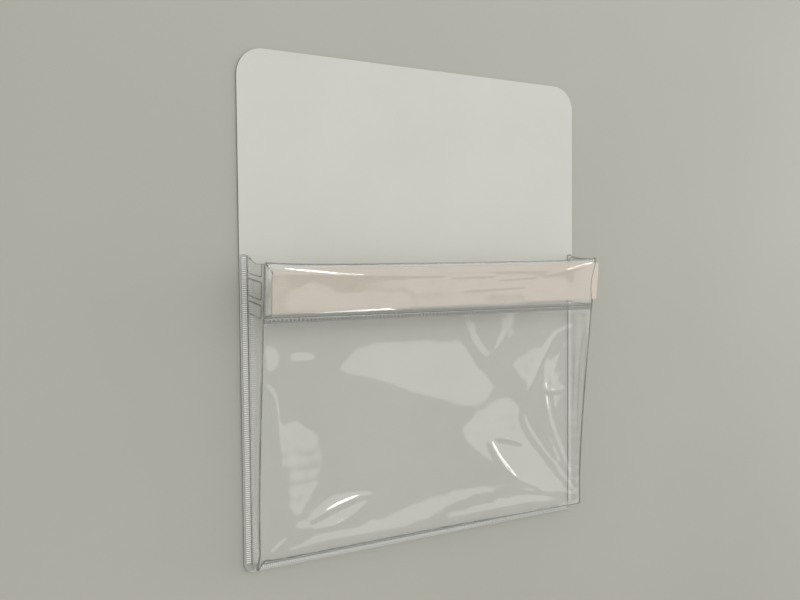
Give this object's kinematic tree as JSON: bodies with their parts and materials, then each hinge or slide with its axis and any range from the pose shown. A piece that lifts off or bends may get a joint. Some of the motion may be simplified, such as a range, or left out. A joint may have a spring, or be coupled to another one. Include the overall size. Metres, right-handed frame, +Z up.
{
  "type": "magnetic document pocket",
  "caption": "Magnetic backing sheet with a clear square-sided film pocket for documents and a label sleeve with a sliding card along its front.",
  "frame": {"origin": "centre of the magnet's back face, which lies on the board", "axes": "+Z up as it hangs, -Y out from the board through the pocket's front, +X to the right seen from the front"},
  "size_m": [0.2444, 0.0314, 0.3],
  "materials": {
    "magnet": "matt flexible magnet",
    "face": "satin white laminate",
    "film": "clear glossy film",
    "weld": "clear film with a ribbed weld",
    "card": "matt beige card"
  },
  "bodies": {
    "backing": {"magnet_sheet": "magnet", "white_face_sheet": "face", "left_flange": "weld", "right_flange": "weld", "foot_flange": "weld", "left_gusset": "film", "right_gusset": "film", "left_gusset_band": "film", "right_gusset_band": "film", "floor_panel": "film"},
    "front": {"front_panel": "film", "sleeve_window": "film"},
    "card": {"label_card": "card"}
  },
  "joints": [
    {"name": "front_swing", "type": "hinge", "parent": "backing", "child": "front", "pos_m": [0, -0.01435, -0.1406], "axis": [-1, 0, 0], "range_deg": [0, 8.5], "stiffness_Nm_per_rad": 0.05, "deforming": ["left_gusset_band", "right_gusset_band"]},
    {"name": "card_slide", "type": "slide", "parent": "front", "child": "card", "axis": [1, 0, 0], "range_m": [0, 0.23]}
  ]
}
